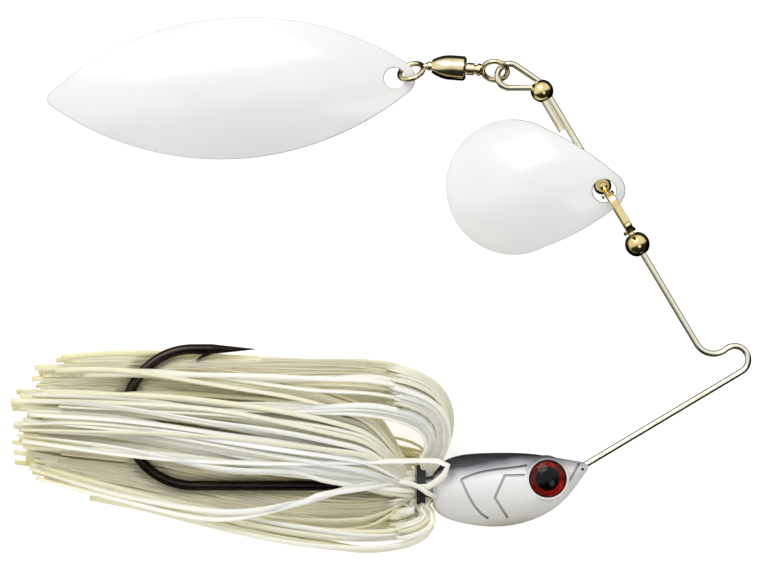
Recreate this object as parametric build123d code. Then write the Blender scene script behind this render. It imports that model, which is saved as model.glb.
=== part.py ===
"""Spinnerbait: a bent wire arm carrying a lead fish head, a skirted hook and two spinner blades.

The lure lies on its side. X runs from the skirt tips to the line tie, Y runs from the hook side
to the blade side, and Z is up. The wire, the hook and the head share one level plane.
Every piece is a solid of its own, written to parts/NAME.step. Sizes are millimetres.
"""
import os
from math import asin, cos, degrees, radians, sin, sqrt

from build123d import *

# ---------------------------------------------------------------- driving dimensions
ARM_LEVEL = 5.0            # height of the wire's plane above the surface the lure lies on
WIRE_R = 0.5               # stainless arm wire
FIT = 0.06                 # radial running clearance of the clevis and swivel shafts

# Line tie: the open bend between the two arms
TIE_CENTRE = (57.6, -12.0)
TIE_R = 2.2
LOWER_ARM_ANGLE = 30.4     # from the head up to the line tie
TIE_LEAVE_ANGLE = 130.0    # where the line tie's bend turns into the valley
VALLEY_R = 3.1
UPPER_ARM_ANGLE = 120.8    # from the valley up to the closing bead
STOP_BEAD_AT = 18.8        # distances along the upper arm from the valley's end
CLEVIS_LOW_AT = 21.2
CLEVIS_HIGH_AT = 28.1
UPPER_BEAD_AT = 29.8
LOOP_BEAD_AT = 47.9
TAG_LENGTH = 7.2           # free end of the wire past the closing bead
WIRE_PAIR_GAP = 1.1        # centre to centre, where the end is turned back beside the arm
STOP_BEAD_R = 2.0
UPPER_BEAD_R = 1.45
LOOP_BEAD_R = 1.85

# Swivel loop: the teardrop at the top of the arm
LOOP_CENTRE = (21.29, 33.76)
LOOP_R = 1.95

# Head
NOSE = (34.0, -28.65)
EYE_CENTRE = (27.3, -31.0)
EYE_R = 3.0
SOCKET_R = 3.45
SOCKET_HALF = 4.25         # from the middle plane to the socket's rim
EYE_RECESS = 0.72
FOIL = 0.22
EYE_TOP = 5.0              # from the middle plane to the top of the eye's dome
GILL_WIDTH = 0.4
GILL_DEPTH = 0.28
SHANK_Y = -32.3
KEEPER_R = 1.75
KEEPER_END = 3.2           # X of the keeper's free end
# X, upper edge, lower edge and half width of the head's cross sections
HEAD_SECTIONS = [
    (8.9, -30.0, -35.6, 2.3),
    (10.6, -28.4, -37.3, 3.1),
    (14.0, -27.3, -38.4, 3.9),
    (19.5, -27.0, -38.9, 4.4),
    (25.0, -27.2, -37.8, 4.35),
    (29.0, -27.8, -35.6, 3.7),
    (32.0, -28.3, -32.4, 2.2),
    (33.9, -28.7, -29.8, 0.75),
]

# Hook
HOOK_R = 0.82
HOOK_BEND_R = 11.0
HOOK_BEND_X = -29.7
HOOK_POINT_X = -19.7
HOOK_EYE = (27.6, SHANK_Y)
HOOK_EYE_R = 2.3
HOOK_EYE_WIRE_R = 0.62

# Skirt
BAND_X = (6.3, 7.7)
BAND_R = 3.35
BAND_INNER_R = 2.65
SKIRT_TOP = 15.0
SKIRT_GAP = 1.15           # half the gap round the hook between the two skirt layers
SKIRT_BOTTOM_TAPER = 25
SKIRT_TOP_TAPER = 30
SKIRT_OUTLINE = [
    (6.0, -28.6), (9.6, -27.0), (12.3, -23.2), (11.2, -17.6), (7.0, -13.8), (0.0, -11.9),
    (-22.0, -11.6), (-40.0, -10.9), (-51.5, -11.6), (-57.5, -15.4), (-60.3, -21.2),
    (-58.0, -28.0), (-51.5, -33.4), (-44.8, -34.8), (-28.6, -38.2), (-12.5, -42.1),
    (-2.0, -43.43), (6.4, -41.0), (8.9, -37.4), (6.0, -35.7),
]

# Clevis
STRAP_WIDTH = 1.2
STRAP_THICKNESS = 0.55
STRAP_ROUND = 0.2
CLEVIS_HEIGHT = 4.7        # wire centre to the middle of the bow
CLEVIS_BEND_R = 1.6
CLEVIS_EYE_R = 1.05

# Blades: cupped sheet metal
BLADE_THICKNESS = 0.6
WILLOW_TIP = (-53.8, 30.15)
WILLOW_END = (6.6, 33.65)
WILLOW_HALF_WIDTH = 11.45
WILLOW_LONG_R = 127.0
WILLOW_CROSS_R = 20.2
WILLOW_HOLE_FROM_END = 3.75
WILLOW_HOLE_R = 1.7
WILLOW_TIP_Z = 0.0
WILLOW_END_Z = 3.75
COLORADO_FAR = (11.42, 16.66)
COLORADO_TIP = (39.71, 15.53)
COLORADO_LENGTH = 29.2
COLORADO_R = 10.95
COLORADO_TIP_R = 3.3
COLORADO_HOLE_FROM_TIP = 3.15
COLORADO_HOLE = (36.45, 15.2)
COLORADO_BULGE = 0.55      # how far the straight-looking sides swell
COLORADO_LONG_R = 27.0
COLORADO_CROSS_R = 17.0
COLORADO_HOLE_R = 1.85
COLORADO_PITCH = 10.5      # far end down
COLORADO_ROLL = 4.0        # lower edge down
COLORADO_HOLE_Z = 7.15
FLAP_HINGE_FROM_HOLE = 2.1 # towards the tip, where the strap bears on the blade

# Swivel: distances are measured along its axis from the middle of the front eye
SWIVEL_FRONT = (18.95, 34.56, ARM_LEVEL + 0.3)
SWIVEL_HEADING = 175.5
SWIVEL_DROOP = 4.0
SWIVEL_EYE_R = 2.0
SWIVEL_WIRE_R = 0.42
FRONT_EYE_TILT = 45.0
REAR_EYE_TILT = 53.0
REAR_EYE_HEADING = 200.0
BARREL_FRONT = 4.7
BARREL_REAR = 10.2
BARREL_R = 2.0
BEARING_R = 1.55
SHAFT_R = 0.55
REAR_SHAFT_R = 0.45
BALL_R = 0.33
BALL_COUNT = 7
NECK_END = 11.05


UP = Vector(0, 0, 1)


# ---------------------------------------------------------------- small helpers
def heading(angle):
    """Unit vector in the level plane, at an angle from X."""
    return Vector(cos(radians(angle)), sin(radians(angle)), 0)


def at_level(point, z=ARM_LEVEL):
    """A plan point lifted to a height."""
    return Vector(point[0], point[1], z)


def rod(path, radius):
    """Round wire swept along a path."""
    start = Plane(origin=path @ 0, z_dir=path % 0)
    return sweep(start * Circle(radius), path=path)


def tangent_point(outside, centre, radius, side):
    """Where a straight line from an outside point touches a circle, on its left (1) or right (-1)."""
    reach = centre - outside
    turn = degrees(asin(radius / reach.length)) * side
    return outside + reach.rotate(Axis.Z, turn).normalized() * sqrt(reach.length**2 - radius**2)


def bearing_of(point, centre):
    """Angle of a point seen from a centre, from X."""
    return Vector(1, 0, 0).get_signed_angle(point - centre, Vector(0, 0, 1))


def turned(profile, frame):
    """A profile of (distance, radius) corners turned round a frame's Z axis."""
    points = [(radius, distance) for distance, radius in profile]
    face = make_face(Plane.XZ * Polyline(*points, close=True))
    return frame.location * revolve(face, Axis.Z)


# ---------------------------------------------------------------- the wire's line
tie_centre = at_level(TIE_CENTRE)
lower_turn = tie_centre + heading(LOWER_ARM_ANGLE - 90) * TIE_R
valley_centre = tie_centre + heading(TIE_LEAVE_ANGLE) * (TIE_R + VALLEY_R)
valley_end = valley_centre + heading(UPPER_ARM_ANGLE + 90) * VALLEY_R
arm = heading(UPPER_ARM_ANGLE)
arm_side = heading(UPPER_ARM_ANGLE - 90)


def along_arm(distance):
    """A point on the upper arm's centre line."""
    return valley_end + arm * distance


loop_bead_centre = along_arm(LOOP_BEAD_AT) - arm_side * (WIRE_PAIR_GAP / 2)


def wire_path():
    """Centre line of the arm wire, from its hidden end in the head to the cut tag end."""
    loop_centre = at_level(LOOP_CENTRE)
    leg_up = loop_bead_centre + arm_side * (WIRE_PAIR_GAP / 2) + arm * 1.2
    leg_back = loop_bead_centre - arm_side * (WIRE_PAIR_GAP / 2) + arm * 0.9
    touch_up = tangent_point(leg_up, loop_centre, LOOP_R, -1)
    touch_back = tangent_point(leg_back, loop_centre, LOOP_R, 1)
    from_angle = bearing_of(touch_up, loop_centre)
    to_angle = bearing_of(touch_back, loop_centre) % 360
    tag_end = leg_back - arm * (TAG_LENGTH + 0.9)
    mid_back = touch_back + (leg_back - touch_back) * 0.5
    mid_up = touch_up + (leg_up - touch_up) * 0.5
    nose = at_level(NOSE)
    through_eye = at_level((HOOK_EYE[0] - 2.2, SHANK_Y - 1.3))
    hidden_end = through_eye + Vector(-6.5, -0.6, 0)
    in_head = FilletPolyline(hidden_end, through_eye, nose, lower_turn, radius=[1.5, 60])
    return Wire(
        [
            *in_head.edges(),
            CenterArc(tie_centre, TIE_R, LOWER_ARM_ANGLE - 90, TIE_LEAVE_ANGLE + 90 - LOWER_ARM_ANGLE),
            CenterArc(
                valley_centre,
                VALLEY_R,
                TIE_LEAVE_ANGLE + 180,
                UPPER_ARM_ANGLE + 90 - TIE_LEAVE_ANGLE - 180,
            ),
            *FilletPolyline(valley_end, leg_up, mid_up, radius=1.0).edges(),
            Line(mid_up, touch_up),
            CenterArc(loop_centre, LOOP_R, from_angle, to_angle - from_angle),
            Line(touch_back, mid_back),
            *FilletPolyline(mid_back, leg_back, tag_end, radius=0.7).edges(),
        ]
    )


def wire_form():
    """The stainless arm: one wire from the head to the swivel loop."""
    return rod(wire_path(), WIRE_R)


def flatted_ball(centre, radius, flat):
    """A ball with its two ends cut flat across the arm."""
    ball = Sphere(radius) & Cylinder(radius + 1, 2 * (radius - flat))
    return Plane(origin=centre, z_dir=arm).location * ball


def crimped_bead(distance, radius):
    """Metal bead crimped on the arm, beside the clevis."""
    centre = along_arm(distance)
    hole = Plane(origin=centre, z_dir=arm).location * Cylinder(WIRE_R, 3 * radius)
    return flatted_ball(centre, radius, radius / 10) - hole


def loop_bead(wire):
    """Metal bead crimped over the arm and the turned-back end, closing the swivel loop."""
    frame = Plane(origin=loop_bead_centre, x_dir=arm_side, z_dir=arm)
    slot = extrude(SlotCenterToCenter(WIRE_PAIR_GAP, 2 * WIRE_R), 3, both=True)
    return flatted_ball(loop_bead_centre, LOOP_BEAD_R, 0.2) - frame.location * slot - wire


# ---------------------------------------------------------------- head, eyes and hook
def head_body(thinner=0.0):
    """The fish-shaped casting before it is cut, or the same shape a skin thinner."""
    sections = []
    for x, upper, lower, half in HEAD_SECTIONS:
        frame = Plane(origin=(x, (upper + lower) / 2, ARM_LEVEL), x_dir=(0, 1, 0), z_dir=(1, 0, 0))
        sections.append(frame * Ellipse((upper - lower) / 2 - thinner, half - thinner))
    return loft(sections)


def cheek_bands():
    """Upright walls that follow the gill cover's lines and the mouth."""
    outer = Spline((24.0, -28.9), (19.6, -29.5), (16.6, -30.0), (13.4, -31.2))
    lower = Spline((13.4, -31.2), (14.4, -33.3), (16.0, -35.9), (17.8, -37.4))
    inner = Polyline((23.6, -30.4), (20.4, -30.5), (18.8, -34.0), (20.9, -37.3))
    mouth = Line((32.5, -28.6), (30.8, -31.3))
    bands = []
    for line in (outer, lower, inner, mouth):
        bands.append(extrude(trace(line, GILL_WIDTH), 12))
    return bands


def lead_head(wire, shank):
    """Lead casting: fish head, raised eye sockets and the skirt keeper behind."""
    body = head_body()
    core = head_body(GILL_DEPTH)
    for band in cheek_bands():
        body -= band - core
    x, y = EYE_CENTRE
    socket = Cylinder(SOCKET_R, 2 * SOCKET_HALF)
    socket = fillet(socket.edges(), 0.25)
    body += Pos(x, y, ARM_LEVEL) * socket
    keeper = Plane(origin=(KEEPER_END, SHANK_Y, ARM_LEVEL), z_dir=(1, 0, 0)).location
    body += keeper * Cylinder(KEEPER_R, 9.5, align=(Align.CENTER, Align.CENTER, Align.MIN))
    body += keeper * Cone(KEEPER_R - 0.35, KEEPER_R + 0.3, 1.2, align=(Align.CENTER, Align.CENTER, Align.MIN))
    floor = SOCKET_HALF - EYE_RECESS
    for side in (1, -1):
        middle = ARM_LEVEL + side * (floor + 1)
        body -= Pos(x, y, middle) * Cylinder(EYE_R + 0.05, 2)
    return body - wire - shank


def eye_foil(side):
    """Printed iris and pupil disc at the bottom of a socket."""
    middle = ARM_LEVEL + side * (SOCKET_HALF - EYE_RECESS + FOIL / 2)
    return Pos(*EYE_CENTRE, middle) * Cylinder(EYE_R, FOIL)


def eye_lens(side):
    """Clear resin dome over the foil."""
    base = SOCKET_HALF - EYE_RECESS + FOIL
    rise = EYE_TOP - base - 0.2
    ball_r = (EYE_R**2 + rise**2) / (2 * rise)
    dome = Pos(0, 0, EYE_TOP - ball_r) * Sphere(ball_r)
    dome &= Pos(0, 0, base) * Cylinder(EYE_R, 4, align=(Align.CENTER, Align.CENTER, Align.MIN))
    if side < 0:
        dome = Rot(180, 0, 0) * dome
    return Pos(*EYE_CENTRE, ARM_LEVEL) * dome


def hook():
    """Single barbed hook, its eye cast into the head."""
    bend_centre = at_level((HOOK_BEND_X, SHANK_Y + HOOK_BEND_R))
    shank_front = at_level((HOOK_EYE[0] - HOOK_EYE_R, SHANK_Y))
    bend_start = at_level((HOOK_BEND_X, SHANK_Y))
    point_root = at_level((HOOK_BEND_X + 3.0, SHANK_Y + 2 * HOOK_BEND_R))
    path = Wire(
        [
            Line(shank_front, bend_start),
            CenterArc(bend_centre, HOOK_BEND_R, 270, -180),
            Line(bend_centre + Vector(0, HOOK_BEND_R, 0), point_root),
        ]
    )
    body = rod(path, HOOK_R)
    point_length = HOOK_POINT_X - point_root.X
    point = Cone(HOOK_R, 0.05, point_length, align=(Align.CENTER, Align.CENTER, Align.MIN))
    body += Plane(origin=point_root, z_dir=(1, 0, 0)).location * point
    barb_root = point_root.Y - HOOK_R
    barb = Polyline(
        (point_root.X - 1.2, barb_root + 0.3),
        (point_root.X - 2.6, barb_root - 1.0),
        (point_root.X + 0.9, barb_root + 0.3),
        close=True,
    )
    body += extrude(Pos(0, 0, ARM_LEVEL) * make_face(barb), 0.35, both=True)
    ring = Plane(origin=at_level(HOOK_EYE), z_dir=(0, 1, 0)).location * Torus(HOOK_EYE_R, HOOK_EYE_WIRE_R)
    return body + ring


# ---------------------------------------------------------------- skirt
def across(x_from, x_to, radius):
    """A round bar along X on the keeper's axis."""
    frame = Plane(origin=(x_from, SHANK_Y, ARM_LEVEL), z_dir=(1, 0, 0))
    bar = Cylinder(radius, x_to - x_from, align=(Align.CENTER, Align.CENTER, Align.MIN))
    return frame.location * bar


def skirt_band():
    """Rubber collar that grips the strands on the keeper."""
    return across(*BAND_X, BAND_R) - across(*BAND_X, BAND_INNER_R)


def skirt_bundle():
    """The gathered middle of the strands, under the collar."""
    return across(BAND_X[0] - 2.6, BAND_X[1] + 0.9, BAND_INNER_R) - across(-5, 15, KEEPER_R + 0.32)


def skirt_layer(side, outer_face, taper):
    """One soft layer of strands, from its face at the hook to its outer face."""
    inner_face = ARM_LEVEL + side * SKIRT_GAP
    outline = make_face(Pos(0, 0, inner_face) * Polyline(*SKIRT_OUTLINE, close=True))
    layer = extrude(outline, abs(outer_face - inner_face), dir=(0, 0, side), taper=taper)
    return layer - across(-5, 15, BAND_INNER_R) - across(*BAND_X, BAND_R + 0.05)


def skirt_above():
    """Strands lying over the hook."""
    return skirt_layer(1, SKIRT_TOP, SKIRT_TOP_TAPER)


def skirt_below():
    """Strands lying under the hook, flattened on the surface."""
    return skirt_layer(-1, 0, SKIRT_BOTTOM_TAPER)


# ---------------------------------------------------------------- blades
def cupped(outline, long_r, cross_r, hole_x, hole_r):
    """Sheet cupped along and across: a skin of a large ring-shaped surface, cut to an outline."""
    ring_r = long_r - cross_r
    place = Pos(0, 0, -long_r) * Rot(90, 0, 0)
    skin = place * Torus(ring_r, cross_r) - place * Torus(ring_r, cross_r - BLADE_THICKNESS)
    blank = extrude(Pos(0, 0, -9) * outline, 11)
    return (skin & blank) - Pos(hole_x, 0, -4) * Cylinder(hole_r, 12)


def blade_frame(far, near, far_z, near_z, roll=0.0):
    """Frame at a blade's middle, X towards its hole end and Z out of its rounded side."""
    far_point = at_level(far, far_z)
    near_point = at_level(near, near_z)
    forward = (near_point - far_point).normalized()
    side = UP.cross(forward).normalized()
    normal = forward.cross(side).rotate(Axis((0, 0, 0), forward), roll)
    return Plane(origin=(far_point + near_point) / 2, x_dir=forward, z_dir=normal)


def willow_frame():
    """Frame of the willow blade; its two ends are the cup's depth below the middle."""
    length = (at_level(WILLOW_END) - at_level(WILLOW_TIP)).length
    depth = WILLOW_LONG_R - sqrt(WILLOW_LONG_R**2 - (length / 2) ** 2) + BLADE_THICKNESS
    frame = blade_frame(WILLOW_TIP, WILLOW_END, WILLOW_TIP_Z, WILLOW_END_Z)
    return frame.offset(depth), length


def willow_blade():
    """Long leaf-shaped blade."""
    frame, length = willow_frame()
    half = length / 2
    upper = ThreePointArc((-half - 0.6, 0), (0.3, WILLOW_HALF_WIDTH), (half + 1.4, 0))
    lower = ThreePointArc((half + 1.4, 0), (0.3, -WILLOW_HALF_WIDTH), (-half - 0.6, 0))
    leaf = make_face([*upper.edges(), *lower.edges()])
    ends = leaf.vertices().sort_by(Axis.X)
    leaf = fillet(ends[-1], 2.9)
    leaf = fillet(leaf.vertices().sort_by(Axis.X)[0], 1.2)
    hole_x = half - WILLOW_HOLE_FROM_END
    blade = cupped(leaf, WILLOW_LONG_R, WILLOW_CROSS_R, hole_x, WILLOW_HOLE_R)
    return frame.location * blade


def colorado_frame():
    """Frame of the teardrop blade, tipped so that its far rim lies on the surface."""
    near = at_level(COLORADO_TIP)
    far = at_level(COLORADO_FAR)
    forward = (near - far).normalized()
    side = UP.cross(forward).normalized()
    forward = forward.rotate(Axis((0, 0, 0), side), -COLORADO_PITCH)
    normal = forward.cross(side).rotate(Axis((0, 0, 0), forward), COLORADO_ROLL)
    hole_x, hole_drop = colorado_hole()
    hole = at_level(COLORADO_HOLE, COLORADO_HOLE_Z)
    origin = hole - forward * hole_x + normal * hole_drop
    return Plane(origin=origin, x_dir=forward, z_dir=normal)


def colorado_hole():
    """The hole's place along the blade, and the mid-surface's drop there below the middle's top."""
    along = COLORADO_LENGTH / 2 - COLORADO_HOLE_FROM_TIP
    middle_r = COLORADO_LONG_R - BLADE_THICKNESS / 2
    return along, COLORADO_LONG_R - sqrt(middle_r**2 - along**2)


def colorado_blade():
    """Teardrop blade that hangs on the clevis."""
    hole_x, _ = colorado_hole()
    tip_x = COLORADO_LENGTH / 2 - COLORADO_TIP_R
    round_x = COLORADO_R - COLORADO_LENGTH / 2
    lean = asin((COLORADO_R - COLORADO_TIP_R) / (tip_x - round_x))
    wide = Vector(round_x + COLORADO_R * sin(lean), COLORADO_R * cos(lean))
    narrow = Vector(tip_x + COLORADO_TIP_R * sin(lean), COLORADO_TIP_R * cos(lean))
    swell = (wide + narrow) / 2 + Vector(sin(lean), cos(lean)) * COLORADO_BULGE
    side = ThreePointArc(wide, swell, narrow)
    other = mirror(side, Plane.XZ)
    drop = make_face([side, Line(side @ 1, other @ 1), other, Line(other @ 0, side @ 0)])
    drop += Pos(round_x, 0) * Circle(COLORADO_R)
    drop += Pos(tip_x, 0) * Circle(COLORADO_TIP_R)
    blade = cupped(drop, COLORADO_LONG_R, COLORADO_CROSS_R, hole_x, COLORADO_HOLE_R)
    return colorado_frame().location * blade


def clevis():
    """Stirrup strap: two eyes run on the arm, and its bow holds the blade by its hole."""
    low = along_arm(CLEVIS_LOW_AT)
    high = along_arm(CLEVIS_HIGH_AT)
    lift = Vector(0, 0, CLEVIS_HEIGHT)
    path = FilletPolyline(low, low + lift, high + lift, high, radius=CLEVIS_BEND_R)
    rounded = RectangleRounded(STRAP_WIDTH, STRAP_THICKNESS, STRAP_ROUND)
    section = Plane(origin=low, x_dir=arm_side, z_dir=UP) * rounded
    strap = sweep(section, path=path)
    for foot in (low, high):
        eye = Plane(origin=foot, z_dir=arm).location * Cylinder(CLEVIS_EYE_R, STRAP_THICKNESS)
        strap += eye
    bore = Plane(origin=low, z_dir=arm).location * Cylinder(WIRE_R + FIT, 40)
    return strap - bore


# ---------------------------------------------------------------- swivel
def swivel_frame():
    """Z runs along the swivel from its front eye to its rear eye."""
    level = heading(SWIVEL_HEADING)
    along = level * cos(radians(SWIVEL_DROOP)) - UP * sin(radians(SWIVEL_DROOP))
    side = UP.cross(along).normalized()
    return Plane(origin=SWIVEL_FRONT, x_dir=side, z_dir=along)


def eye_ring(centre, along, tilt):
    """A round eye whose plane holds one direction and is tipped about it."""
    side = UP.cross(along).normalized()
    normal = side.cross(along).normalized().rotate(Axis((0, 0, 0), along), tilt)
    across_eye = normal.cross(along)
    ring = Plane(origin=centre, x_dir=across_eye, z_dir=normal).location * Torus(SWIVEL_EYE_R, SWIVEL_WIRE_R)
    return ring, normal


def rear_eye_centre():
    """Middle of the rear eye, which hangs a little off the swivel's axis."""
    frame = swivel_frame()
    neck = frame.origin + frame.z_dir * NECK_END
    reach = heading(REAR_EYE_HEADING) * cos(radians(SWIVEL_DROOP)) - UP * sin(radians(SWIVEL_DROOP))
    return neck, reach, neck + reach * (SWIVEL_EYE_R + 0.65)


def swivel_front_eye():
    """Front eye, neck, shaft and the flange that the bearing holds."""
    frame = swivel_frame()
    ring, _ = eye_ring(frame.origin, frame.z_dir, -FRONT_EYE_TILT)
    near = SWIVEL_EYE_R - 0.1
    shaft = turned(
        [
            (near, 0), (near, 0.6), (near + 0.5, 1.0), (near + 1.0, 1.0), (near + 1.1, 0.72),
            (near + 1.4, 0.72), (near + 1.5, 1.0), (BARREL_FRONT - 0.15, 1.0),
            (BARREL_FRONT - 0.15, SHAFT_R), (6.4, SHAFT_R), (6.4, 1.35), (6.9, 1.35), (6.9, 0),
        ],
        frame,
    )
    return ring + shaft


def swivel_barrel():
    """Bullet-shaped body, bored for the bearing at its wide end."""
    profile = Plane.XZ * make_face(
        [
            Line((BEARING_R, BARREL_FRONT), (1.65, BARREL_FRONT)),
            Line((1.65, BARREL_FRONT), (BARREL_R, BARREL_FRONT + 0.35)),
            Line((BARREL_R, BARREL_FRONT + 0.35), (BARREL_R, BARREL_FRONT + 2.4)),
            ThreePointArc((BARREL_R, BARREL_FRONT + 2.4), (1.73, 8.8), (1.06, BARREL_REAR)),
            Line((1.06, BARREL_REAR), (REAR_SHAFT_R + FIT, BARREL_REAR)),
            Line((REAR_SHAFT_R + FIT, BARREL_REAR), (REAR_SHAFT_R + FIT, 9.3)),
            Line((REAR_SHAFT_R + FIT, 9.3), (0.95, 9.3)),
            Line((0.95, 9.3), (0.95, 7.7)),
            Line((0.95, 7.7), (BEARING_R, 7.3)),
            Line((BEARING_R, 7.3), (BEARING_R, BARREL_FRONT)),
        ]
    )
    return swivel_frame().location * revolve(profile, Axis.Z)


def swivel_end_cap():
    """Ring pressed into the barrel's mouth, which the front shaft turns in."""
    front = BARREL_FRONT + 0.05
    hole = SHAFT_R + FIT
    profile = [(front, hole), (front, BEARING_R), (front + 0.5, BEARING_R), (front + 0.5, hole)]
    return turned(profile, swivel_frame())


def swivel_bearing_balls():
    """Ring of loose balls between the end cap and the thrust washer."""
    place = swivel_frame().location
    middle = BARREL_FRONT + 0.57 + BALL_R
    ring_r = SHAFT_R + BALL_R + 0.1
    balls = []
    for turn in range(BALL_COUNT):
        angle = radians(turn * 360 / BALL_COUNT)
        balls.append(place * Pos(ring_r * cos(angle), ring_r * sin(angle), middle) * Sphere(BALL_R))
    return Compound(balls)


def swivel_thrust_washer():
    """Washer that the balls run on, against the shaft's flange."""
    front = BARREL_FRONT + 0.6 + 2 * BALL_R
    hole = SHAFT_R + 0.08
    profile = [(front, hole), (front, 1.42), (front + 0.3, 1.42), (front + 0.3, hole)]
    return turned(profile, swivel_frame())


def swivel_rear_eye():
    """Rear eye with its headed shaft, which turns in the barrel's narrow end."""
    frame = swivel_frame()
    neck, reach, centre = rear_eye_centre()
    ring, _ = eye_ring(centre, reach, REAR_EYE_TILT)
    shaft = turned(
        [
            (8.6, 0), (8.6, 0.85), (9.15, 0.85), (9.15, REAR_SHAFT_R), (10.3, REAR_SHAFT_R),
            (10.3, 0.72), (NECK_END - 0.2, 0.72), (NECK_END, 0.52), (NECK_END, 0),
        ],
        frame,
    )
    stem = rod(Line(neck - reach * 0.3, neck + reach * 0.5), 0.46)
    return shaft + stem + ring


# ---------------------------------------------------------------- joints
def joint_axes():
    """A point on each joint's axis, and the axis, with the lure as it lies."""
    blade = colorado_frame()
    hole_x, hole_drop = colorado_hole()
    hinge_drop = hole_drop + BLADE_THICKNESS / 2
    flap = blade.origin + blade.x_dir * (hole_x + FLAP_HINGE_FROM_HOLE) - blade.z_dir * hinge_drop
    swivel = swivel_frame()
    _, reach, rear_centre = rear_eye_centre()
    _, rear_normal = eye_ring(rear_centre, reach, REAR_EYE_TILT)
    return {
        "clevis_spin": (along_arm(CLEVIS_HIGH_AT), arm),
        "colorado_flap": (flap, blade.y_dir),
        "swivel_swing": (at_level(LOOP_CENTRE), UP),
        "barrel_spin": (swivel.origin, swivel.z_dir),
        "rear_eye_spin": (swivel.origin, swivel.z_dir),
        "willow_swing": (rear_centre, rear_normal * -1),
    }


# ---------------------------------------------------------------- assembly
def build():
    """Every piece of the lure, by name."""
    wire = wire_form()
    shank = hook()
    return {
        "wire_form": wire,
        "lead_head": lead_head(wire, shank),
        "hook": shank,
        "eye_foil_upper": eye_foil(1),
        "eye_foil_lower": eye_foil(-1),
        "eye_lens_upper": eye_lens(1),
        "eye_lens_lower": eye_lens(-1),
        "skirt_band": skirt_band(),
        "skirt_bundle": skirt_bundle(),
        "skirt_above": skirt_above(),
        "skirt_below": skirt_below(),
        "stop_bead": crimped_bead(STOP_BEAD_AT, STOP_BEAD_R),
        "upper_bead": crimped_bead(UPPER_BEAD_AT, UPPER_BEAD_R),
        "loop_bead": loop_bead(wire),
        "clevis": clevis(),
        "colorado_blade": colorado_blade(),
        "swivel_front_eye": swivel_front_eye(),
        "swivel_barrel": swivel_barrel(),
        "swivel_end_cap": swivel_end_cap(),
        "swivel_bearing_balls": swivel_bearing_balls(),
        "swivel_thrust_washer": swivel_thrust_washer(),
        "swivel_rear_eye": swivel_rear_eye(),
        "willow_blade": willow_blade(),
    }


if __name__ == "__main__":
    os.makedirs("parts", exist_ok=True)
    for name, piece in build().items():
        export_step(piece, f"parts/{name}.step")
        box = piece.bounding_box()
        print(f"{name:22s} {piece.volume:9.2f} mm3  {box.min} {box.max}")
    for name, (point, axis) in joint_axes().items():
        print(f"{name:22s} through {point} along {axis}")
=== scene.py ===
"""The looks of a spinnerbait: strands, paint, metals, floor, light and camera round the CAD frame.

Lengths in the tables below are millimetres, as on the part's own drawing, unless a comment says
metres. MM turns them into metres.
"""
import math
import random

import bmesh
import bpy
import numpy as np
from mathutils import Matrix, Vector


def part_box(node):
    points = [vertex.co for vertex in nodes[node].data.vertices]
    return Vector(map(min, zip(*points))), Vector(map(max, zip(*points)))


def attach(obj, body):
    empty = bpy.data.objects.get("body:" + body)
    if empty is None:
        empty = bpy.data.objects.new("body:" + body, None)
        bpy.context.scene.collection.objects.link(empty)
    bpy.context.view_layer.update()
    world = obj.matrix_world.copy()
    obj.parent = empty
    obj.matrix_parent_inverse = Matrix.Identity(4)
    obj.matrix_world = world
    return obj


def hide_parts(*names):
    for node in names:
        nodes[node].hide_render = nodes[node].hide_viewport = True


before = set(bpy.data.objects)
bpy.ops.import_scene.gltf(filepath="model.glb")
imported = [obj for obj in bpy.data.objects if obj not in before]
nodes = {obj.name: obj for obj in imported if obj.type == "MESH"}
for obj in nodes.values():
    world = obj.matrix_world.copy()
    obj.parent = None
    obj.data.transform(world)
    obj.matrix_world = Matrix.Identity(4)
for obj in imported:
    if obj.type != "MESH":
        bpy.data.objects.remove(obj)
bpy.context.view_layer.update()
MM = 0.001


def mid(node):
    """The middle of a CAD node's box, in millimetres."""
    low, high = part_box(node)
    return (low + high) / 2 / MM


# ---------------------------------------------------------------- camera
VIEW_WIDTH = 124.0         # what the frame spans, at the wire's level
VIEW_SHIFT = (1.13, -0.68)
VIEW_DISTANCE = 620.0
SENSOR = 36.0

level = mid("wire_form").z
camera_data = bpy.data.cameras.new("camera")
camera_data.sensor_width = SENSOR
camera_data.lens = SENSOR * VIEW_DISTANCE / VIEW_WIDTH
camera_data.clip_start = 0.01
camera = bpy.data.objects.new("camera", camera_data)
camera.location = Vector((*VIEW_SHIFT, level + VIEW_DISTANCE)) * MM
bpy.context.collection.objects.link(camera)
bpy.context.scene.camera = camera
bpy.context.scene.view_settings.view_transform = "Standard"


# ---------------------------------------------------------------- node material helpers
# The colour sockets of a Mix node, which share their names with others
MIX_FACTOR = 0
MIX_COLOURS = (6, 7)
MIX_RESULT = 2


def tree_of(name):
    """A new material, its node tree and its Principled shader."""
    material = bpy.data.materials.new(name)
    material.use_nodes = True
    tree = material.node_tree
    return material, tree, tree.nodes["Principled BSDF"]


def plug(tree, socket, value):
    """Gives a socket a value, a colour or a link from another socket."""
    if isinstance(value, bpy.types.NodeSocket):
        tree.links.new(value, socket)
    else:
        socket.default_value = value


def feed(tree, node, **inputs):
    """Plugs values into a node's sockets by name, with _ for each space."""
    for key, value in inputs.items():
        plug(tree, node.inputs[key.replace("_", " ")], value)


def add(tree, kind, **settings):
    """A new node; each setting is one of its own properties or else a socket's name."""
    node = tree.nodes.new(kind)
    for key, value in settings.items():
        if hasattr(node, key) and key not in node.inputs:
            setattr(node, key, value)
        else:
            feed(tree, node, **{key: value})
    return node


def combine(tree, kind, operation, *values):
    """A maths node with its inputs given in order."""
    node = add(tree, kind, operation=operation)
    for socket, value in zip(node.inputs, values):
        plug(tree, socket, value)
    return node


def object_place(tree):
    """The surface's place in the part's own frame, in metres."""
    return add(tree, "ShaderNodeTexCoord").outputs["Object"]


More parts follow.
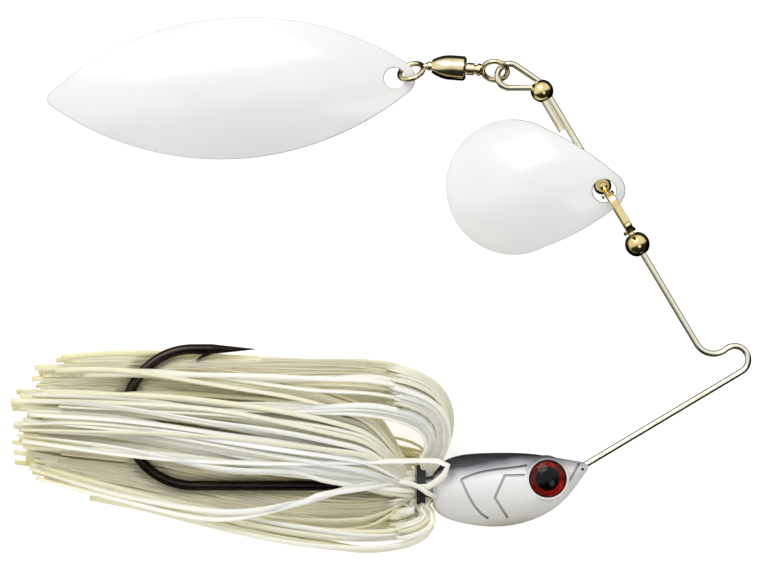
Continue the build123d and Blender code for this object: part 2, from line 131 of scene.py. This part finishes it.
def noise(tree, scale, detail, roughness):
    """Fractal noise from 0 to 1; scale is waves in a metre."""
    texture = add(
        tree, "ShaderNodeTexNoise", Vector=object_place(tree),
        Scale=scale, Detail=detail, Roughness=roughness,
    )
    return texture.outputs["Fac"]


def ramp(tree, factor, stops):
    """A colour ramp; stops are (position, colour)."""
    node = add(tree, "ShaderNodeValToRGB", Fac=factor)
    elements = node.color_ramp.elements
    while len(elements) < len(stops):
        elements.new(0.5)
    for element, (position, colour) in zip(elements, stops):
        element.position = position
        element.color = (*colour, 1.0)
    return node.outputs["Color"]


def spread(tree, value, low, high, to_low, to_high):
    """A value mapped from one range to another, clamped."""
    node = add(
        tree, "ShaderNodeMapRange",
        Value=value, From_Min=low, From_Max=high, To_Min=to_low, To_Max=to_high,
    )
    return node.outputs["Result"]


def mix(tree, factor, first, second):
    """Two colours, each a socket or a tuple, mixed by a factor socket."""
    node = add(tree, "ShaderNodeMix", data_type="RGBA")
    plug(tree, node.inputs[MIX_FACTOR], factor)
    for index, value in zip(MIX_COLOURS, (first, second)):
        linked = isinstance(value, bpy.types.NodeSocket)
        plug(tree, node.inputs[index], value if linked else (*value, 1.0))
    return node.outputs[MIX_RESULT]


def bump(tree, shader, height, distance, strength):
    """Relief on the shader's normal; distance is its depth in metres."""
    node = add(tree, "ShaderNodeBump", Height=height, Distance=distance, Strength=strength)
    tree.links.new(node.outputs["Normal"], shader.inputs["Normal"])
    return node


def plan_distance(tree, x, y):
    """Distance in plan from an upright line, in millimetres."""
    math_kind = "ShaderNodeVectorMath"
    line = Vector((x, y, 0)) * MM
    shifted = combine(tree, math_kind, "SUBTRACT", object_place(tree), line)
    flat = combine(tree, math_kind, "MULTIPLY", shifted.outputs[0], Vector((1, 1, 0)) / MM)
    return combine(tree, math_kind, "LENGTH", flat.outputs[0]).outputs["Value"]


def total(tree, *values):
    """The sum of some values."""
    result = values[0]
    for value in values[1:]:
        result = combine(tree, "ShaderNodeMath", "ADD", result, value).outputs[0]
    return result


def paint(node_name, material):
    """Gives a CAD node its material."""
    mesh = nodes[node_name].data
    mesh.materials.clear()
    mesh.materials.append(material)


# ---------------------------------------------------------------- metals
SCRATCH_DEPTH = 0.02


def metal(name, bright, dull, roughness, wear):
    """Polished metal whose tint and gloss vary a little, with fine scratches."""
    material, tree, shader = tree_of(name)
    patches = noise(tree, wear, 4.0, 0.6)
    blotches = noise(tree, wear * 5, 3.0, 0.6)
    feed(
        tree, shader, Metallic=1.0,
        Base_Color=ramp(tree, patches, [(0.3, dull), (0.65, bright)]),
        Roughness=spread(tree, blotches, 0.3, 0.7, roughness * 0.7, roughness * 1.4),
    )
    bump(tree, shader, noise(tree, wear * 40, 2.0, 0.5), SCRATCH_DEPTH * MM, 0.35)
    return material


wire_steel = metal("arm_wire", (0.95, 0.92, 0.74), (0.78, 0.73, 0.52), 0.12, 160.0)
gold_plate = metal("gold_plate", (0.93, 0.76, 0.38), (0.74, 0.56, 0.24), 0.09, 400.0)
swivel_plate = metal("swivel_plate", (0.90, 0.78, 0.48), (0.68, 0.55, 0.30), 0.11, 400.0)
ball_steel = metal("ball_steel", (0.80, 0.80, 0.80), (0.62, 0.62, 0.62), 0.10, 400.0)
black_nickel = metal("black_nickel", (0.045, 0.034, 0.032), (0.014, 0.011, 0.012), 0.17, 120.0)
for finish, painted in (
    (wire_steel, ["wire_form"]),
    (gold_plate, ["stop_bead", "upper_bead", "loop_bead", "clevis"]),
    (swivel_plate, ["swivel_front_eye", "swivel_barrel", "swivel_end_cap", "swivel_rear_eye"]),
    (ball_steel, ["swivel_bearing_balls", "swivel_thrust_washer"]),
    (black_nickel, ["hook"]),
):
    for node_name in painted:
        paint(node_name, finish)


# ---------------------------------------------------------------- blades
BARE_EDGE = 0.3            # how far the paint has drawn back from the blades' edges
BARE_BRASS = (0.46, 0.41, 0.20)
RIPPLE_DEPTH = 1.0


def blade_paint():
    """Thick gloss white over a softly rippled blade, with bare brass at its edges."""
    material, tree, shader = tree_of("blade_paint")
    tone = noise(tree, 55.0, 3.0, 0.55)
    coat = ramp(tree, tone, [(0.3, (0.82, 0.82, 0.81)), (0.7, (0.88, 0.88, 0.875))])
    rounded = add(tree, "ShaderNodeBevel", samples=6, Radius=BARE_EDGE * MM)
    true_normal = add(tree, "ShaderNodeNewGeometry").outputs["Normal"]
    agree = combine(
        tree, "ShaderNodeVectorMath", "DOT_PRODUCT", rounded.outputs["Normal"], true_normal
    )
    bare = spread(tree, agree.outputs["Value"], 0.86, 0.975, 1.0, 0.0)
    feed(
        tree, shader, Base_Color=mix(tree, bare, coat, BARE_BRASS), Metallic=bare,
        Roughness=0.3, Coat_Weight=0.6, Coat_Roughness=0.09,
    )
    relief = bump(tree, shader, noise(tree, 90.0, 1.0, 0.4), RIPPLE_DEPTH * MM, 0.5)
    tree.links.new(rounded.outputs["Normal"], relief.inputs["Normal"])
    return material


white = blade_paint()
paint("willow_blade", white)
paint("colorado_blade", white)


# ---------------------------------------------------------------- head and eyes
NOSTRIL = (33.0, -29.6)
NOSTRIL_R = 0.28
REAR_SHADE_X = (23.0, 9.0)  # the sides darken from here back to the collar
GROOVE_REACH = 0.7          # how near a surface counts as a groove's other wall, for the painted shade in grooves
FLAKE_SCALE = 5200.0


def pearl_paint():
    """Pearl white sides under a graphite back, with fine flake, painted shade in its grooves and a
    painted shadow in the nostril.
    """
    material, tree, shader = tree_of("head_paint")
    place = add(tree, "ShaderNodeSeparateXYZ", Vector=object_place(tree))
    low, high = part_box("lead_head")
    back = spread(tree, place.outputs["Y"], low.y, high.y, 0.0, 1.0)
    rear = spread(tree, place.outputs["X"], *(x * MM for x in REAR_SHADE_X), 0.0, 0.22)
    wander = spread(tree, noise(tree, 260.0, 3.0, 0.6), 0.0, 1.0, -0.03, 0.05)
    colour = ramp(
        tree,
        total(tree, back, rear, wander),
        [
            (0.04, (0.52, 0.49, 0.37)),
            (0.20, (0.80, 0.78, 0.71)),
            (0.36, (0.88, 0.87, 0.84)),
            (0.76, (0.82, 0.81, 0.80)),
            (0.89, (0.38, 0.37, 0.40)),
            (0.99, (0.03, 0.028, 0.034)),
        ],
    )
    flake = add(tree, "ShaderNodeTexVoronoi", Vector=object_place(tree), Scale=FLAKE_SCALE)
    sparkle = spread(tree, flake.outputs["Distance"], 0.0, 0.6, 1.06, 0.93)
    lit = add(tree, "ShaderNodeHueSaturation", Color=colour, Value=sparkle)
    # painted shade: a near-black dot stands in for the shadow in the nostril pit
    away = plan_distance(tree, *NOSTRIL)
    nostril_shade = spread(tree, away, NOSTRIL_R * 0.7, NOSTRIL_R, 1.0, 0.0)
    # painted shade: ambient occlusion darkens the paint in the gill grooves and in other creases
    # and corners
    grooves = add(tree, "ShaderNodeAmbientOcclusion", samples=8, Distance=GROOVE_REACH * MM)
    painted_groove_shade = spread(tree, grooves.outputs["AO"], 0.50, 0.95, 0.50, 1.0)
    groove_shaded_colour = add(tree, "ShaderNodeHueSaturation", Color=lit.outputs["Color"], Value=painted_groove_shade)
    feed(
        tree, shader, Base_Color=mix(tree, nostril_shade, groove_shaded_colour.outputs["Color"], (0.02, 0.018, 0.02)),
        Metallic=0.15, Roughness=0.42, Coat_Weight=0.35, Coat_Roughness=0.16,
    )
    bump(tree, shader, noise(tree, 900.0, 2.0, 0.5), 0.00004, 0.4)
    return material


paint("lead_head", pearl_paint())


IRIS_R = 3.0
PUPIL_SHARE = 0.65
FOIL_GLOW = 0.22            # without it the foil turns black under the lens


def iris_foil():
    """Red holographic foil round a black pupil, with painted light: brighter towards the upper
    right, and a faint glow.
    """
    material, tree, shader = tree_of("eye_foil")
    centre = mid("eye_foil_upper")
    share = spread(tree, plan_distance(tree, centre.x, centre.y), 0.0, IRIS_R, 0.0, 1.0)
    rays = noise(tree, 1500.0, 3.0, 0.6)
    red = ramp(tree, rays, [(0.3, (0.62, 0.012, 0.010)), (0.7, (0.98, 0.05, 0.03))])
    # painted light: the red brightens towards the upper right and dims towards the lower left
    place = add(tree, "ShaderNodeSeparateXYZ", Vector=object_place(tree))
    painted_light_slopes = [
        spread(tree, place.outputs[axis], (middle - IRIS_R) * MM, (middle + IRIS_R) * MM, 0.25, 0.5)
        for axis, middle in (("X", centre.x), ("Y", centre.y))
    ]
    painted_light_red = add(tree, "ShaderNodeHueSaturation", Color=red, Value=total(tree, *painted_light_slopes))
    inside = spread(tree, share, PUPIL_SHARE - 0.03, PUPIL_SHARE + 0.02, 1.0, 0.0)
    rim = spread(tree, share, 0.91, 0.97, 0.0, 1.0)
    colour = mix(tree, inside, painted_light_red.outputs["Color"], (0.004, 0.003, 0.004))
    colour = mix(tree, rim, colour, (0.05, 0.008, 0.008))
    feed(
        tree, shader, Base_Color=colour, Emission_Color=colour, Emission_Strength=FOIL_GLOW,
        Roughness=0.4, Specular_IOR_Level=0.1,
    )
    return material


def clear_resin():
    """Clear domed resin: only its gloss is seen over the foil."""
    material, tree, shader = tree_of("eye_resin")
    haze = noise(tree, 700.0, 2.0, 0.5)
    slant = add(tree, "ShaderNodeLayerWeight", Blend=0.5).outputs["Facing"]
    feed(
        tree, shader, Base_Color=(1.0, 1.0, 1.0, 1.0), Metallic=1.0,
        Roughness=spread(tree, haze, 0.3, 0.7, 0.03, 0.07),
        Alpha=spread(tree, slant, 0.45, 1.0, 0.018, 0.4),
    )
    return material


foil = iris_foil()
resin = clear_resin()
for side in ("upper", "lower"):
    paint(f"eye_foil_{side}", foil)
    paint(f"eye_lens_{side}", resin)


# ---------------------------------------------------------------- rubber collar
def collar_rubber():
    """Matt black rubber with a fine grain."""
    material, tree, shader = tree_of("band_rubber")
    tone = noise(tree, 800.0, 3.0, 0.6)
    feed(
        tree, shader,
        Base_Color=ramp(tree, tone, [(0.3, (0.004, 0.004, 0.004)), (0.7, (0.010, 0.010, 0.009))]),
        Roughness=spread(tree, tone, 0.3, 0.7, 0.5, 0.7),
    )
    bump(tree, shader, noise(tree, 2500.0, 2.0, 0.5), 0.00005, 0.5)
    return material


paint("skirt_band", collar_rubber())


# ---------------------------------------------------------------- skirt strands
STRAND_WIDTH = 0.92
STRAND_THICKNESS = 0.40
STRAND_STEPS = 44
WIDTH_SHARES = (0.85, 1.15)  # the narrowest and the widest strand
# A strand's section, as shares of half its width and half its thickness
OUTLINE = [
    (-1, 0), (-0.82, 0.8), (0, 1.0), (0.82, 0.8), (1, 0), (0.82, -0.8), (0, -1.0), (-0.82, -0.8),
]
BUNDLE_R = 2.35            # where the strands pass through the collar
COLLAR_GRIP = 4.0          # behind the collar, where strands don't yet give way to the hook
REAR_REACH = 0.93          # how far out the rear strands lie, as a share of the section
REAR_START_X = 5.0
FAN_LENGTH = 8.5           # the way over which strands open out
STRAY_SHARE = 0.16         # how many of them stray from their lane
STRAY, STEADY = 0.26, 0.10
FOLD_X = 10.4              # how far forward the folded strands come
FOLD_LENGTH = 11.5         # from there back to where they lie on the outside
TIP_X = -59.7
RAGGED = 6.5               # how unevenly the tips end
CALM_SWAY = 0.2
FLOOR_GAP = 0.3
LOWEST = 0.55              # a strand's middle never comes nearer the floor
REAR_COUNT = 160
FLARED_COUNT = 140
# X, middle Y, half width and top of the skirt's cross sections, from the collar to the tips
SECTIONS = np.array([
    (12.0, -27.6, 15.0, 13.2),
    (2.0, -27.7, 15.4, 14.6),
    (-10.0, -27.0, 15.1, 14.7),
    (-24.0, -25.4, 13.8, 13.0),
    (-40.0, -23.2, 12.0, 11.2),
    (-51.0, -22.4, 10.6, 9.4),
    (-60.5, -21.8, 9.2, 8.0),
])
# Where the hook lies over the strands: middle X, half length, middle Y, half width
BARED = [
    (-24.5, 11.5, -32.3, 1.55),
    (-36.4, 2.6, -30.0, 1.7),
    (-39.9, 1.6, -16.0, 1.5),
    (-37.8, 1.2, -12.9, 0.8),
    (-27.5, 9.5, -10.7, 1.7),
]
# Strands that lie apart from the rest, from the collar to the tip
PLACED = [
    [  # crosses the collar
        (9.2, -33.9, 8.2), (8.0, -33.3, 8.9), (6.2, -32.1, 9.1), (2.8, -31.4, 9.6),
        (-4.4, -32.2, 10.3), (-12.5, -34.4, 10.8), (-20.6, -35.2, 10.8), (-38.0, -33.5, 9.5),
        (-55.0, -29.0, 8.0),
    ],
    [  # four that cross the shank's front end
        (6.0, -30.2, 7.4), (3.5, -30.5, 8.0), (0.0, -31.6, 9.3), (-6.0, -32.9, 9.9),
        (-12.0, -34.6, 10.3), (-24.0, -36.2, 10.3), (-40.0, -34.0, 9.0), (-56.0, -29.5, 6.0),
    ],
    [
        (6.0, -33.9, 7.2), (3.5, -33.6, 8.0), (0.0, -32.9, 9.0), (-6.0, -31.7, 9.6),
        (-12.0, -30.0, 10.2), (-24.0, -29.6, 10.6), (-40.0, -26.6, 9.9), (-57.0, -26.0, 7.0),
    ],
    [
        (6.0, -31.0, 7.8), (3.0, -31.4, 8.6), (-2.0, -32.4, 9.7), (-9.0, -33.5, 10.4),
        (-13.0, -34.9, 10.5), (-26.0, -37.4, 9.9), (-42.0, -34.4, 9.0), (-55.0, -31.0, 6.0),
    ],
    [
        (6.0, -33.0, 7.9), (3.0, -32.8, 8.6), (-2.0, -32.3, 9.4), (-9.0, -31.1, 10.3),
        (-13.5, -29.8, 10.8), (-26.0, -29.3, 10.9), (-42.0, -26.0, 9.7), (-58.0, -24.0, 6.5),
    ],
    [  # folds forward over the head, then back
        (6.4, -32.4, 8.2), (8.3, -32.2, 8.9), (10.6, -30.4, 10.0), (11.3, -28.9, 10.3),
        (9.3, -28.1, 10.2), (3.6, -28.1, 10.3), (-7.7, -28.3, 11.7), (-20.6, -28.3, 11.2),
        (-38.0, -27.4, 10.2), (-57.0, -25.0, 8.0),
    ],
    [  # two that hang below the collar
        (7.6, -35.3, 5.4), (8.9, -37.0, 5.2), (8.4, -39.4, 5.4), (5.6, -41.6, 5.8),
        (-1.9, -42.6, 6.2), (-16.0, -40.8, 6.4), (-36.0, -35.0, 6.0), (-53.0, -31.0, 5.0),
    ],
    [
        (7.4, -35.2, 6.4), (8.4, -36.6, 6.8), (7.6, -38.6, 7.2), (3.4, -40.2, 8.0),
        (-6.0, -40.6, 8.4), (-22.0, -38.0, 8.2), (-40.0, -33.2, 7.0), (-56.0, -29.0, 5.0),
    ],
]
HOOK_LEVEL = mid("hook").z
HOOK_CLEAR = 1.25          # room for the strands above or below the hook's middle
HOOK_BEND_X = -29.7
HOOK_BEND_R = 11.0
HOOK_POINT_X = -19.7

collar = mid("skirt_band")
dice = random.Random(7)


def section(x):
    """Middle Y, half width and top of the skirt at a place along it."""
    table = SECTIONS[::-1]
    return [float(np.interp(x, table[:, 0], table[:, column])) for column in (1, 2, 3)]


def in_skirt(x, u, v):
    """A point from its place in the cross section: u and v run from -1 to 1 across and up."""
    middle, half, top = section(x)
    bottom = FLOOR_GAP + STRAND_THICKNESS / 2
    return Vector((x, middle + half * u, (top + bottom) / 2 + (top - bottom) / 2 * v))


def smooth(t):
    """A soft step from 0 to 1."""
    t = min(1.0, max(0.0, t))
    return t * t * (3 - 2 * t)


def tip_of(u):
    """Where the strands end: farthest back in the middle."""
    return TIP_X + 6.5 * abs(u + 0.1) ** 2.2 + dice.uniform(0.0, RAGGED) ** 1.15


def rear_strand():
    """A strand that leaves the collar backwards and fans out."""
    turn = dice.uniform(0, 2 * math.pi)
    reach = math.sqrt(dice.random()) * REAR_REACH
    u, v = reach * math.cos(turn), reach * math.sin(turn)
    wander = STRAY if dice.random() < STRAY_SHARE else STEADY
    drift_u, drift_v = dice.gauss(0, wander), dice.gauss(0, 0.08)
    cos, sin = math.cos(turn), math.sin(turn)
    start = Vector((collar.x, collar.y + BUNDLE_R * cos, collar.z + BUNDLE_R * sin))
    tip = tip_of(u)
    points = [start, start + Vector((-1.6, 0.12 * cos, 0.12 * sin))]
    for share in (0.10, 0.2, 0.34, 0.5, 0.66, 0.83, 1.0):
        x = REAR_START_X + (tip - REAR_START_X) * share
        fan = 1 - math.exp(-(collar.x - x) / FAN_LENGTH)
        spot = in_skirt(x, u + drift_u * share, v + drift_v * share)
        points.append(start.lerp(spot, fan))
        points[-1].x = x
    return points


def flared_strand():
    """A strand that leaves the collar forwards, folds back and lies on the outside."""
    side = dice.random()
    if side < 0.60:
        turn = math.pi * min(0.66, max(0.27, dice.gauss(0.42, 0.13)))
    elif side < 0.86:
        turn = math.pi * min(-0.34, max(-0.70, dice.gauss(-0.48, 0.12)))
    else:
        turn = dice.gauss(math.pi, 0.5)
    u, v = math.sin(turn), math.cos(turn)
    shell = dice.uniform(0.58, 1.0)
    start = Vector((collar.x, collar.y + BUNDLE_R * u, collar.z + BUNDLE_R * v))
    forward = FOLD_X + 1.6 * u - 9.0 * (1 - shell)
    points = [start, start + Vector((1.5, 0.25 * u, 0.25 * v))]
    for x, share in (
        (forward - 1.2, 0.20), (forward, 0.45), (forward - 1.0, 0.72), (forward - 4.6, 0.90),
        (forward - FOLD_LENGTH, 1.0),
    ):
        spot = in_skirt(x, u * shell, v * shell)
        points.append(start.lerp(spot, share))
        points[-1].x = x
    tip = tip_of(u)
    drift_u, drift_v = dice.gauss(-0.06 * u, 0.09), dice.gauss(-0.1, 0.08)
    for share in (0.22, 0.42, 0.62, 0.81, 1.0):
        x = forward - FOLD_LENGTH + (tip - forward + FOLD_LENGTH) * share
        points.append(in_skirt(x, u * shell + drift_u * share, v * shell + drift_v * share))
    return points


def placed(points):
    """A maker of one strand along given points."""
    return lambda: [Vector(point) for point in points]


def resampled(points, count):
    """Catmull-Rom through the points, at even steps of length."""
    ends = [points[0] * 2 - points[1], *points, points[-1] * 2 - points[-2]]
    fine = []
    for a, b, c, d in zip(ends, ends[1:], ends[2:], ends[3:]):
        for step in range(8):
            t = step / 8
            square = (2 * a - 5 * b + 4 * c - d) * t**2
            cube = (3 * b - a - 3 * c + d) * t**3
            fine.append(0.5 * ((2 * b) + (c - a) * t + square + cube))
    fine.append(points[-1])
    line = np.array(fine)
    along = np.concatenate([[0], np.cumsum(np.linalg.norm(np.diff(line, axis=0), axis=1))])
    even = np.linspace(0, along[-1], count)
    return np.stack([np.interp(even, along, line[:, axis]) for axis in range(3)], axis=1)


def hook_distance(x, y):
    """How far a plan point is from the hook's centre line."""
    shank_y = collar.y
    if x > HOOK_BEND_X:
        legs = [abs(y - shank_y)]
        if x < HOOK_POINT_X:
            legs.append(abs(y - shank_y - 2 * HOOK_BEND_R))
        return min(legs)
    return abs(math.hypot(x - HOOK_BEND_X, y - shank_y - HOOK_BEND_R) - HOOK_BEND_R)


def settled(line, sway):
    """The strand's own waves, then its way round the hook, the collar and the floor."""
    phase = [dice.uniform(0, 2 * math.pi) for _ in range(4)]
    size = dice.uniform(0.15, 0.6) * sway
    out = line.copy()
    for index in range(len(out)):
        share = index / (len(out) - 1)
        grow = smooth((share - 0.12) / 0.4) * size
        across = math.sin(share * 5.1 + phase[0]) + 0.5 * math.sin(share * 11 + phase[1])
        up = math.sin(share * 4.3 + phase[2]) + 0.5 * math.sin(share * 9 + phase[3])
        out[index, 1] += grow * across
        out[index, 2] += grow * 0.7 * up
    above = out[len(out) // 2, 2] > HOOK_LEVEL
    for px, half_x, py, half_y in BARED:
        for step in (-1, -0.5, 0, 0.5, 1):
            passing = np.interp(px + half_x * step, out[::-1, 0], out[::-1, 1])
            if abs(passing - py) < half_y:
                above = False
    for index in range(len(out)):
        x, y, z = out[index]
        if x > collar.x - COLLAR_GRIP:
            continue
        near = hook_distance(x, y)
        lift = HOOK_CLEAR * smooth(2.0 - near / HOOK_CLEAR)
        if above:
            z = max(z, HOOK_LEVEL + lift)
        else:
            z = min(z, HOOK_LEVEL - lift)
        out[index] = (x, y, max(z, LOWEST))
    return out


def ribbon(bm, line, width, shade, layer):
    """A flat strand with rounded edges along a line, closed at both ends."""
    count = len(line)
    twist_0, twist_1 = dice.gauss(0, 0.35), dice.gauss(0, 0.8)
    rings = []
    for index in range(count):
        here = Vector(line[index])
        ahead = Vector(line[min(index + 1, count - 1)]) - Vector(line[max(index - 1, 0)])
        along = ahead.normalized()
        share = index / (count - 1)
        outward = Vector((0, here.y - collar.y, here.z - 3.0)).normalized()
        out = outward * (1 - share) + Vector((0, 0, 1)) * (share + 0.3)
        side = along.cross(out).normalized()
        up = side.cross(along).normalized()
        turn = twist_0 * (1 - share) + twist_1 * share
        cos, sin = math.cos(turn), math.sin(turn)
        side, up = side * cos + up * sin, up * cos - side * sin
        half, deep = width / 2, STRAND_THICKNESS / 2
        rings.append([
            bm.verts.new((here + side * half * across + up * deep * high) * MM)
            for across, high in OUTLINE
        ])
    faces = []
    for first, second in zip(rings, rings[1:]):
        for a in range(len(OUTLINE)):
            b = (a + 1) % len(OUTLINE)
            faces.append(bm.faces.new((first[a], second[a], second[b], first[b])))
    faces.append(bm.faces.new(rings[0]))
    faces.append(bm.faces.new(rings[-1][::-1]))
    for face in faces:
        face.smooth = True
        for loop in face.loops:
            loop[layer] = shade


def strands(name, makers, calm=()):
    """One mesh of strands; the calm ones hardly sway from their own lines."""
    bm = bmesh.new()
    layer = bm.loops.layers.float.new("shade")
    swaying = [(maker, 1.0) for maker in makers] + [(maker, CALM_SWAY) for maker in calm]
    for maker, sway in swaying:
        line = settled(resampled(maker(), STRAND_STEPS), sway)
        width = STRAND_WIDTH * dice.uniform(*WIDTH_SHARES)
        ribbon(bm, line, width, dice.random(), layer)
    mesh = bpy.data.meshes.new(name)
    bm.to_mesh(mesh)
    bm.free()
    piece = bpy.data.objects.new(name, mesh)
    bpy.context.collection.objects.link(piece)
    return piece


def silicone():
    """Milky silicone, ivory on the crown, with painted shade in a darker yellow low down between
    strands.
    """
    material, tree, shader = tree_of("skirt_silicone")
    place = add(tree, "ShaderNodeSeparateXYZ", Vector=object_place(tree))
    # painted shade: the lower a strand lies, the darker and yellower it is, as in the shade between
    # strands
    depth = spread(tree, place.outputs["Z"], 0.002, 0.0125, 0.0, 1.0)
    colour = ramp(
        tree,
        depth,
        [
            (0.0, (0.74, 0.67, 0.36)),
            (0.35, (0.88, 0.83, 0.58)),
            (0.65, (0.95, 0.93, 0.79)),
            (1.0, (0.97, 0.965, 0.90)),
        ],
    )
    own = add(tree, "ShaderNodeAttribute", attribute_name="shade")
    value = spread(tree, own.outputs["Fac"], 0.0, 1.0, 0.92, 1.04)
    yellower = spread(tree, own.outputs["Fac"], 0.20, 0.30, 0.55, 0.0)
    tinted = mix(tree, yellower, colour, (0.88, 0.83, 0.54))
    toned = add(tree, "ShaderNodeHueSaturation", Color=tinted, Value=value)
    feed(
        tree, shader, Base_Color=toned.outputs["Color"],
        Subsurface_Weight=0.35, Subsurface_Radius=(1.0, 0.9, 0.55), Subsurface_Scale=0.0009,
        Roughness=spread(tree, noise(tree, 500.0, 3.0, 0.5), 0.3, 0.7, 0.3, 0.48),
    )
    bump(tree, shader, noise(tree, 1800.0, 2.0, 0.5), 0.00006, 0.4)
    return material


skirt_material = silicone()
rear = strands("skirt_rear_strands", [rear_strand] * REAR_COUNT)
flared = strands(
    "skirt_flared_strands", [flared_strand] * FLARED_COUNT, [placed(points) for points in PLACED]
)
for piece in (rear, flared):
    piece.data.materials.append(skirt_material)
    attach(piece, "root")
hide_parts("skirt_below", "skirt_bundle")
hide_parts("skirt_above")


# ---------------------------------------------------------------- floor and light
FLOOR_HALF = 2.0           # metres
FLOOR_GLOW = 0.72          # lifts the sheet to the photo's pure white
SOFT_LIGHT = 0.70          # the surround, for matt surfaces
BRIGHT_SIDE = Vector((-0.35, 0.9, 0.1))
# Each lamp's place and width in metres, and its power in watts
LAMPS = {
    "key": ((-0.25, 0.50, 0.60), 0.5, 2.6),
    "fill": ((0.30, -0.30, 0.8), 0.3, 0.5),
}


def floor_material():
    """A white sheet that gives off a little light."""
    material, tree, shader = tree_of("floor_white")
    tone = noise(tree, 4.0, 2.0, 0.5)
    feed(
        tree, shader,
        Base_Color=ramp(tree, tone, [(0.3, (0.50, 0.50, 0.50)), (0.7, (0.54, 0.54, 0.54))]),
        Roughness=0.8, Emission_Color=(1.0, 1.0, 1.0, 1.0), Emission_Strength=FLOOR_GLOW,
    )
    return material


def floor():
    """A wide sheet under the lure."""
    bm = bmesh.new()
    corners = ((-1, -1), (1, -1), (1, 1), (-1, 1))
    bm.faces.new([bm.verts.new((x * FLOOR_HALF, y * FLOOR_HALF, 0)) for x, y in corners])
    mesh = bpy.data.meshes.new("floor")
    bm.to_mesh(mesh)
    bm.free()
    piece = bpy.data.objects.new("floor", mesh)
    bpy.context.collection.objects.link(piece)
    mesh.materials.append(floor_material())
    piece.visible_glossy = False


def softbox(name, place, size, power):
    """A square lamp aimed at the lure."""
    data = bpy.data.lights.new(name, "AREA")
    data.size = size
    data.energy = power
    lamp = bpy.data.objects.new(name, data)
    lamp.location = place
    lamp.rotation_euler = Vector(place).to_track_quat("Z", "Y").to_euler()
    bpy.context.collection.objects.link(lamp)


def surround():
    """In reflections bright on one side and dark on the other, plain white to the camera."""
    world = bpy.data.worlds.new("studio")
    world.use_nodes = True
    bpy.context.scene.world = world
    tree = world.node_tree
    out = tree.nodes["World Output"]
    heading = add(tree, "ShaderNodeTexCoord").outputs["Generated"]
    toward = combine(
        tree, "ShaderNodeVectorMath", "DOT_PRODUCT", heading, BRIGHT_SIDE.normalized()
    )
    glow = ramp(
        tree,
        spread(tree, toward.outputs["Value"], -1.0, 1.0, 0.0, 1.0),
        [
            (0.0, (0.01, 0.01, 0.01)),
            (0.40, (0.03, 0.03, 0.03)),
            (0.54, (0.95, 0.95, 0.95)),
            (1.0, (1.0, 1.0, 1.0)),
        ],
    )
    height = add(tree, "ShaderNodeSeparateXYZ", Vector=heading)
    sky = spread(tree, height.outputs["Z"], -0.15, 0.12, 0.02, 1.0)
    reflected, soft, plain = (
        add(tree, "ShaderNodeBackground", Color=colour, Strength=1.0).outputs[0]
        for colour in (
            mix(tree, sky, (0.0, 0.0, 0.0), glow),
            (SOFT_LIGHT, SOFT_LIGHT, SOFT_LIGHT, 1.0),
            (1.0, 1.0, 1.0, 1.0),
        )
    )
    rays = add(tree, "ShaderNodeLightPath")
    shown = soft
    for kind, other in (("Is Glossy Ray", reflected), ("Is Camera Ray", plain)):
        switch = add(tree, "ShaderNodeMixShader")
        for socket, value in zip(switch.inputs, (rays.outputs[kind], shown, other)):
            plug(tree, socket, value)
        shown = switch.outputs[0]
    tree.links.new(shown, out.inputs["Surface"])


floor()
surround()
for lamp_name, settings in LAMPS.items():
    softbox(lamp_name, *settings)
